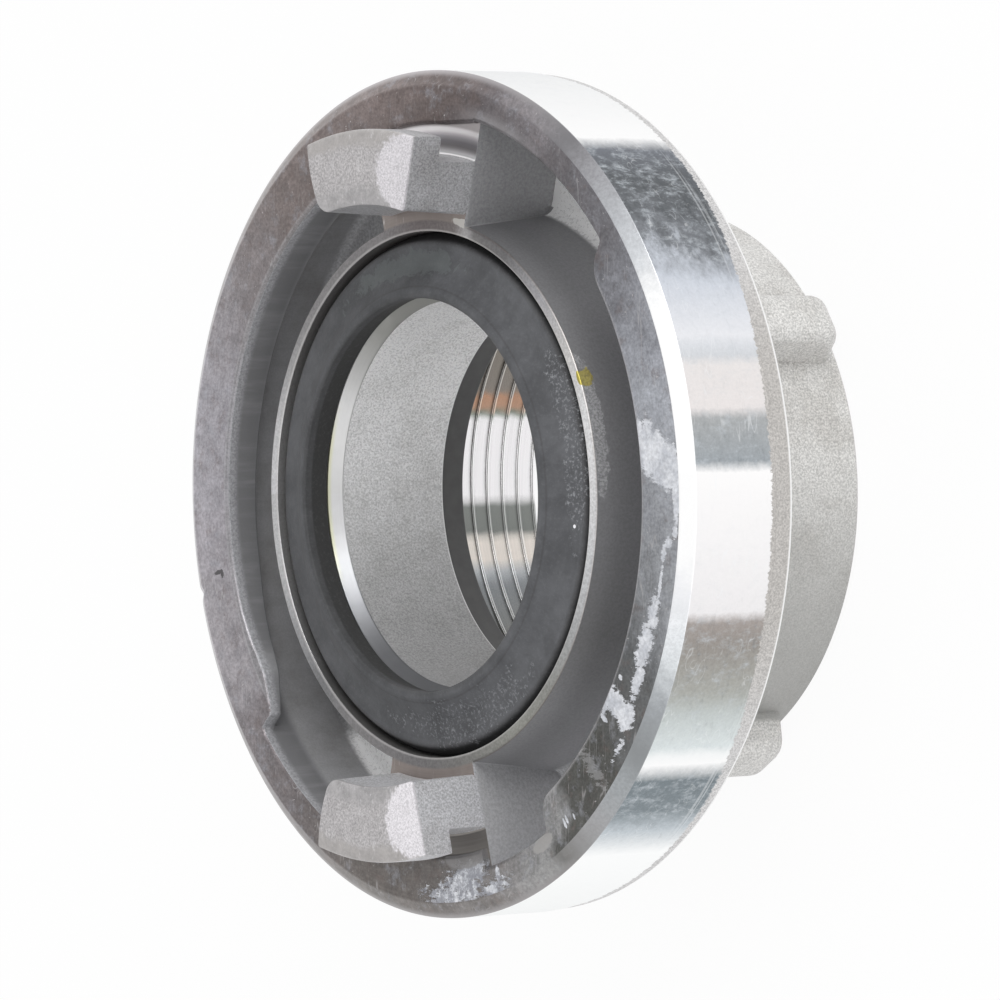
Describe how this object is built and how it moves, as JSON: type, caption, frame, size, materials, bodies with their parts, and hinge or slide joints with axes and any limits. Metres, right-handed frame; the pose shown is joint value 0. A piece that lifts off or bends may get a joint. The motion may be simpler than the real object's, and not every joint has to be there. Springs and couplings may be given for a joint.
{
  "type": "quarter turn fire hose coupling",
  "caption": "Quarter turn fire hose coupling half with hooked lugs, ramped flange, lip seal and a female pipe thread.",
  "frame": {"origin": "centre of the threaded end face that the part stands on", "axes": "+Z along the waterway from the threaded end to the lugs, the lugs lie on +Y and -Y"},
  "size_m": [0.098, 0.098, 0.047],
  "materials": {
    "cast_aluminium": "blasted casting with turned rim, worn and scratched",
    "seal_rubber": "matt black rubber, dusty",
    "gasket_rubber": "matt black rubber"
  },
  "bodies": {
    "root": {"coupling_body": "cast_aluminium", "seal_ring": "seal_rubber", "thread_gasket": "gasket_rubber"}
  },
  "joints": []
}
